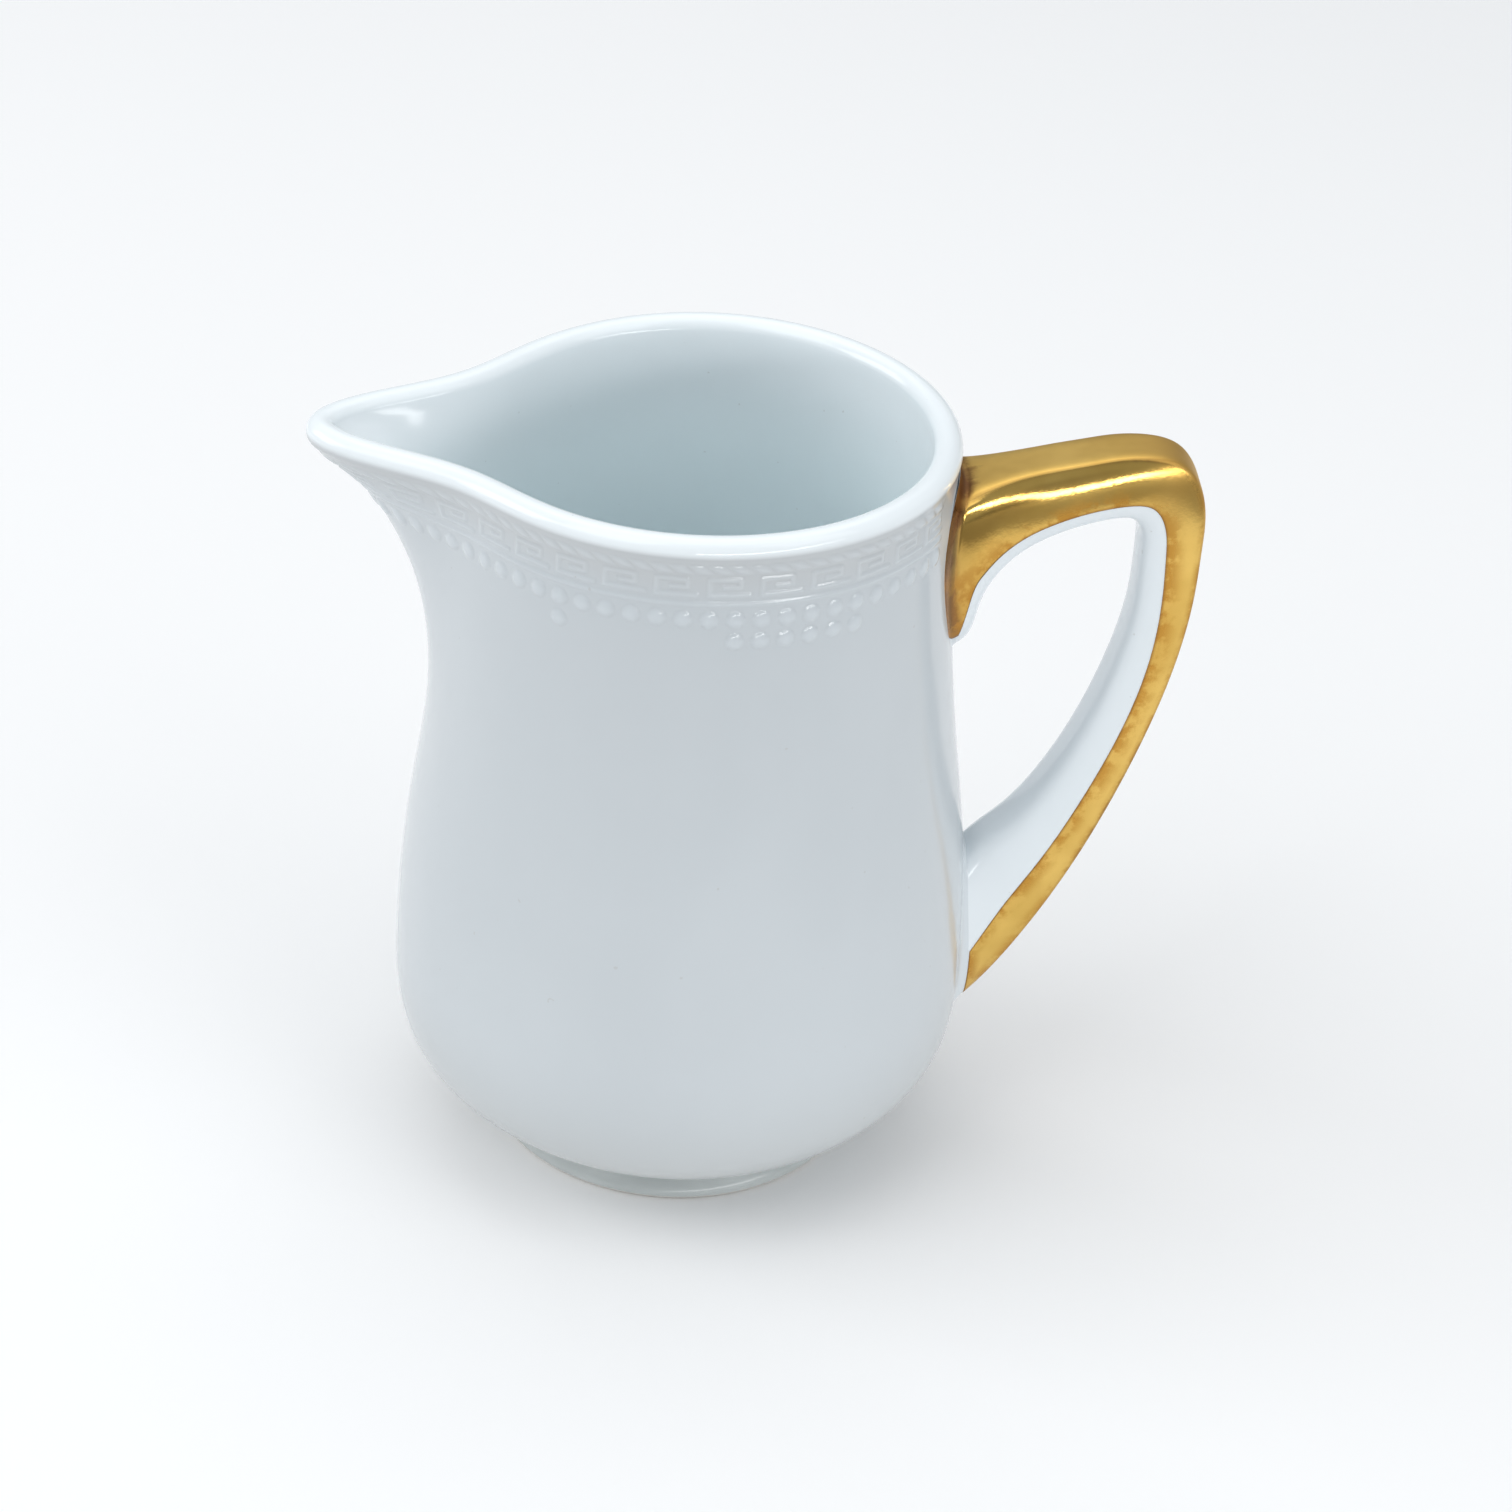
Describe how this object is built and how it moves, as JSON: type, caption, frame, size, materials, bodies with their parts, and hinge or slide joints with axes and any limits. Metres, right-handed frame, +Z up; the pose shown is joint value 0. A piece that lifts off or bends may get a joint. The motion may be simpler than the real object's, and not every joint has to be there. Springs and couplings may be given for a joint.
{
  "type": "cream jug",
  "caption": "Small pear-shaped porcelain cream jug with a pinched spout, rolled lip, low relief band, turned foot and a squared loop handle gilded on its top, back and sides.",
  "frame": {"origin": "centre of the foot ring's resting plane", "axes": "+Z up, +X towards the handle, -X towards the spout, +Y across the jug"},
  "size_m": [0.1093, 0.0728, 0.1],
  "materials": {
    "glazed_porcelain": "high-gloss clear glaze over cool white porcelain",
    "relief_porcelain": "moulded low relief softened by the glaze",
    "joint_slip": "glazed slip fillet",
    "foot_porcelain": "glazed side, wiped matt resting edge",
    "burnished_gold": "fired burnish gold, mirror bright on the sides and satin on top, with darker burnt borders"
  },
  "bodies": {
    "root": {"jug_body": "glazed_porcelain", "foot_ring": "foot_porcelain", "handle": "glazed_porcelain", "upper_luting_slip": "joint_slip", "lower_luting_slip": "joint_slip", "handle_gilding": "burnished_gold", "rope_edging": "relief_porcelain", "fret_border": "relief_porcelain", "fillet_line": "relief_porcelain", "bead_row": "relief_porcelain", "drop_beads": "relief_porcelain"}
  },
  "joints": []
}
